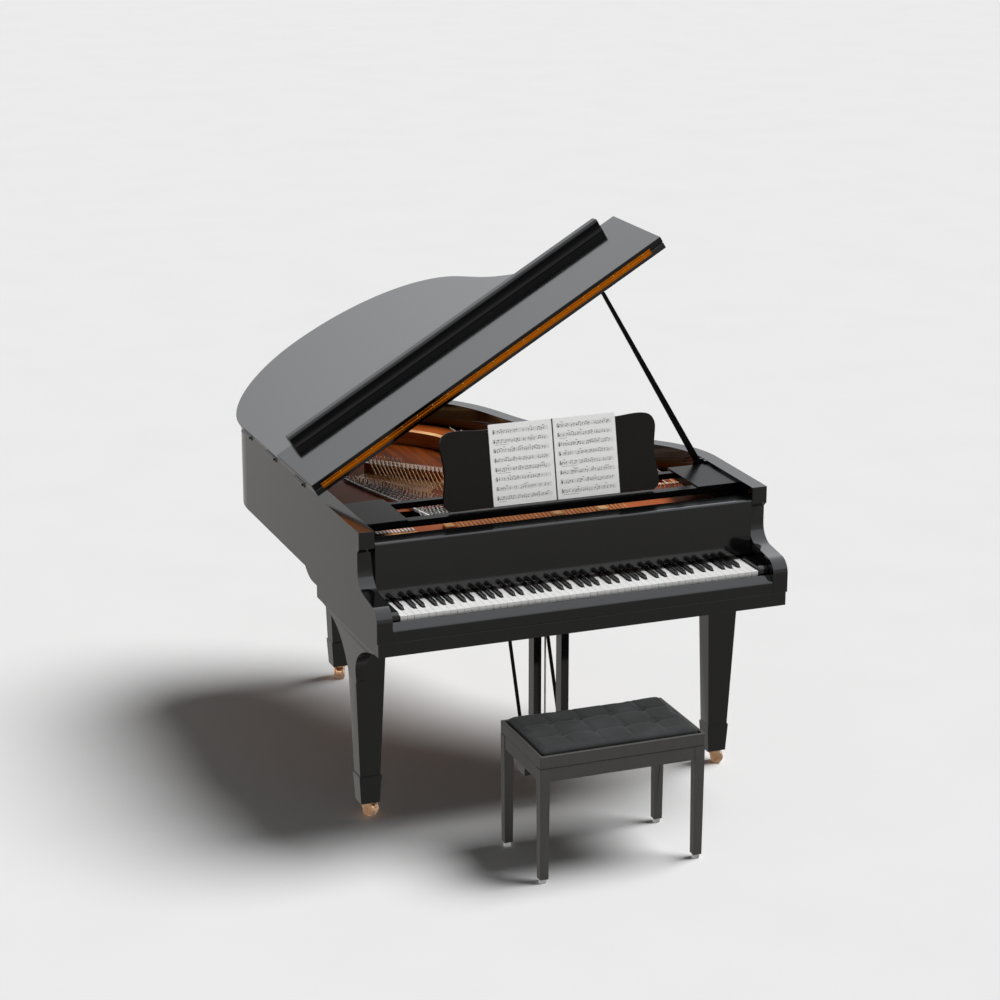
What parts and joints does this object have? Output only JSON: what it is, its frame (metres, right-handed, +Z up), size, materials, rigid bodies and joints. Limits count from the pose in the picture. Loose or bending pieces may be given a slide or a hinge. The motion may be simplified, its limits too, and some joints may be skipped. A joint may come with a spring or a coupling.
{
  "type": "miniature grand piano",
  "caption": "Dolls house grand piano with its lid propped open, a hinged music desk, sprung keys and pedals, casters and a padded stool.",
  "frame": {"origin": "on the floor under the centre of the whole set's bounding box, piano and stool together", "axes": "+X towards the treble side, +Y from the keyboard towards the tail, +Z up"},
  "size_m": [0.1188, 0.1782, 0.1495],
  "materials": {
    "black_lacquer": "gloss",
    "mahogany": "gloss",
    "spruce": "satin",
    "beech": "satin",
    "plate_bronze": "satin",
    "string_steel": "satin",
    "string_copper": "satin",
    "brass": "polished",
    "caster_brass": "polished",
    "ivory_white": "gloss",
    "ebony_black": "satin",
    "paper": "matte",
    "pedal_brass": "polished",
    "stool_lacquer": "satin",
    "seat_leather": "matte",
    "glide_steel": "polished"
  },
  "bodies": {
    "case": {"rim": "black_lacquer", "inner_rim": "mahogany", "soundboard": "spruce", "back_braces": "beech", "pinblock": "beech", "plate": "plate_bronze", "treble_bridge": "beech", "bass_bridge": "beech", "plain_strings": "string_steel", "bass_strings": "string_copper", "keybed": "black_lacquer", "key_frame": "beech", "key_slip": "black_lacquer", "key_blocks": "black_lacquer", "stretcher": "black_lacquer", "music_shelf": "black_lacquer", "rim_butts": "black_lacquer", "prop_bracket": "brass", "leg_right": "black_lacquer", "leg_left": "black_lacquer", "leg_rear": "black_lacquer", "lyre": "black_lacquer", "lyre_braces": "black_lacquer"},
    "lid": {"main_lid": "black_lacquer", "lid_leaf": "brass"},
    "front_flap": {"front_lid": "black_lacquer", "lid_batten": "black_lacquer", "flap_leaf": "brass"},
    "prop": {"prop_stick": "black_lacquer"},
    "desk": {"music_desk": "black_lacquer", "sheet_music": "paper"},
    "fall": {"fallboard": "black_lacquer"},
    "keys_a": {"keys_a": "ivory_white"},
    "keys_a_sharp": {"keys_a_sharp": "ebony_black"},
    "keys_b": {"keys_b": "ivory_white"},
    "keys_c": {"keys_c": "ivory_white"},
    "keys_c_sharp": {"keys_c_sharp": "ebony_black"},
    "keys_d": {"keys_d": "ivory_white"},
    "keys_d_sharp": {"keys_d_sharp": "ebony_black"},
    "keys_e": {"keys_e": "ivory_white"},
    "keys_f": {"keys_f": "ivory_white"},
    "keys_f_sharp": {"keys_f_sharp": "ebony_black"},
    "keys_g": {"keys_g": "ivory_white"},
    "keys_g_sharp": {"keys_g_sharp": "ebony_black"},
    "pedal_left": {"pedal_left": "pedal_brass"},
    "pedal_middle": {"pedal_middle": "pedal_brass"},
    "pedal_right": {"pedal_right": "pedal_brass"},
    "caster_left": {"caster_fork_left": "caster_brass"},
    "wheel_left": {"caster_wheel_left": "caster_brass"},
    "caster_right": {"caster_fork_right": "caster_brass"},
    "wheel_right": {"caster_wheel_right": "caster_brass"},
    "caster_rear": {"caster_fork_rear": "caster_brass"},
    "wheel_rear": {"caster_wheel_rear": "caster_brass"},
    "stool": {"stool_frame": "stool_lacquer", "stool_glides": "glide_steel"},
    "seat": {"seat_frame": "stool_lacquer", "cushion": "seat_leather"}
  },
  "joints": [
    {"name": "lid_hinge", "type": "hinge", "parent": "case", "child": "lid", "pos_m": [-0.05771, 0.02346, 0.08563], "axis": [0, 1, 0], "range_deg": [-40, 0]},
    {"name": "flap_hinge", "type": "hinge", "parent": "lid", "child": "front_flap", "pos_m": [-0.05836, -0.01366, 0.08766], "axis": [0.859, 0, 0.512], "range_deg": [0, 165]},
    {"name": "prop_pivot", "type": "hinge", "parent": "case", "child": "prop", "pos_m": [0.05281, -0.01621, 0.08483], "axis": [0.0325, 0.9978, -0.0582], "range_deg": [-55, 0]},
    {"name": "desk_hinge", "type": "hinge", "parent": "case", "child": "desk", "pos_m": [0.00114, -0.03498, 0.08461], "axis": [1, 0, 0], "range_deg": [-77, 0]},
    {"name": "fall_hinge", "type": "hinge", "parent": "case", "child": "fall", "pos_m": [0.00114, -0.04537, 0.06767], "axis": [1, 0, 0], "range_deg": [0, 90]},
    {"name": "keys_a_press", "type": "hinge", "parent": "case", "child": "keys_a", "pos_m": [0.00114, -0.03821, 0.06367], "axis": [1, 0, 0], "range_deg": [0, 2.5], "stiffness_Nm_per_rad": 0.002, "springref_deg": -4.58},
    {"name": "keys_a_sharp_press", "type": "hinge", "parent": "case", "child": "keys_a_sharp", "pos_m": [0.00114, -0.03821, 0.06367], "axis": [1, 0, 0], "range_deg": [0, 2.5], "stiffness_Nm_per_rad": 0.002, "springref_deg": -4.58},
    {"name": "keys_b_press", "type": "hinge", "parent": "case", "child": "keys_b", "pos_m": [0.00114, -0.03821, 0.06367], "axis": [1, 0, 0], "range_deg": [0, 2.5], "stiffness_Nm_per_rad": 0.002, "springref_deg": -4.58},
    {"name": "keys_c_press", "type": "hinge", "parent": "case", "child": "keys_c", "pos_m": [0.00114, -0.03821, 0.06367], "axis": [1, 0, 0], "range_deg": [0, 2.5], "stiffness_Nm_per_rad": 0.002, "springref_deg": -4.58},
    {"name": "keys_c_sharp_press", "type": "hinge", "parent": "case", "child": "keys_c_sharp", "pos_m": [0.00114, -0.03821, 0.06367], "axis": [1, 0, 0], "range_deg": [0, 2.5], "stiffness_Nm_per_rad": 0.002, "springref_deg": -4.58},
    {"name": "keys_d_press", "type": "hinge", "parent": "case", "child": "keys_d", "pos_m": [0.00114, -0.03821, 0.06367], "axis": [1, 0, 0], "range_deg": [0, 2.5], "stiffness_Nm_per_rad": 0.002, "springref_deg": -4.58},
    {"name": "keys_d_sharp_press", "type": "hinge", "parent": "case", "child": "keys_d_sharp", "pos_m": [0.00114, -0.03821, 0.06367], "axis": [1, 0, 0], "range_deg": [0, 2.5], "stiffness_Nm_per_rad": 0.002, "springref_deg": -4.58},
    {"name": "keys_e_press", "type": "hinge", "parent": "case", "child": "keys_e", "pos_m": [0.00114, -0.03821, 0.06367], "axis": [1, 0, 0], "range_deg": [0, 2.5], "stiffness_Nm_per_rad": 0.002, "springref_deg": -4.58},
    {"name": "keys_f_press", "type": "hinge", "parent": "case", "child": "keys_f", "pos_m": [0.00114, -0.03821, 0.06367], "axis": [1, 0, 0], "range_deg": [0, 2.5], "stiffness_Nm_per_rad": 0.002, "springref_deg": -4.58},
    {"name": "keys_f_sharp_press", "type": "hinge", "parent": "case", "child": "keys_f_sharp", "pos_m": [0.00114, -0.03821, 0.06367], "axis": [1, 0, 0], "range_deg": [0, 2.5], "stiffness_Nm_per_rad": 0.002, "springref_deg": -4.58},
    {"name": "keys_g_press", "type": "hinge", "parent": "case", "child": "keys_g", "pos_m": [0.00114, -0.03821, 0.06367], "axis": [1, 0, 0], "range_deg": [0, 2.5], "stiffness_Nm_per_rad": 0.002, "springref_deg": -4.58},
    {"name": "keys_g_sharp_press", "type": "hinge", "parent": "case", "child": "keys_g_sharp", "pos_m": [0.00114, -0.03821, 0.06367], "axis": [1, 0, 0], "range_deg": [0, 2.5], "stiffness_Nm_per_rad": 0.002, "springref_deg": -4.58},
    {"name": "pedal_left_press", "type": "hinge", "parent": "case", "child": "pedal_left", "pos_m": [-0.00336, -0.03238, 0.01], "axis": [1, 0, 0], "range_deg": [0, 5], "stiffness_Nm_per_rad": 0.001, "springref_deg": -5.73},
    {"name": "pedal_middle_press", "type": "hinge", "parent": "case", "child": "pedal_middle", "pos_m": [0.00114, -0.03238, 0.01], "axis": [1, 0, 0], "range_deg": [0, 5], "stiffness_Nm_per_rad": 0.001, "springref_deg": -5.73},
    {"name": "pedal_right_press", "type": "hinge", "parent": "case", "child": "pedal_right", "pos_m": [0.00564, -0.03238, 0.01], "axis": [1, 0, 0], "range_deg": [0, 5], "stiffness_Nm_per_rad": 0.001, "springref_deg": -5.73},
    {"name": "caster_left_swivel", "type": "hinge", "parent": "case", "child": "caster_left", "pos_m": [-0.05053, -0.03029, 0.004], "axis": [0, 0, 1], "continuous": true},
    {"name": "wheel_left_roll", "type": "hinge", "parent": "caster_left", "child": "wheel_left", "pos_m": [-0.04991, -0.03108, 0.00183], "axis": [0.788, 0.6157, 0], "continuous": true},
    {"name": "caster_right_swivel", "type": "hinge", "parent": "case", "child": "caster_right", "pos_m": [0.05281, -0.03029, 0.004], "axis": [0, 0, 1], "continuous": true},
    {"name": "wheel_right_roll", "type": "hinge", "parent": "caster_right", "child": "wheel_right", "pos_m": [0.05374, -0.03065, 0.00183], "axis": [0.3584, 0.9336, 0], "continuous": true},
    {"name": "caster_rear_swivel", "type": "hinge", "parent": "case", "child": "caster_rear", "pos_m": [-0.02486, 0.07346, 0.004], "axis": [0, 0, 1], "continuous": true},
    {"name": "wheel_rear_roll", "type": "hinge", "parent": "caster_rear", "child": "wheel_rear", "pos_m": [-0.02522, 0.07252, 0.00183], "axis": [0.9336, -0.3584, 0], "continuous": true},
    {"name": "stool_slide", "type": "slide", "parent": "case", "child": "stool", "axis": [0, 1, 0], "range_m": [-0.02, 0.02]},
    {"name": "seat_hinge", "type": "hinge", "parent": "stool", "child": "seat", "pos_m": [-0.00111, -0.06154, 0.03168], "axis": [1, 0, 0], "range_deg": [-75, 0]}
  ]
}
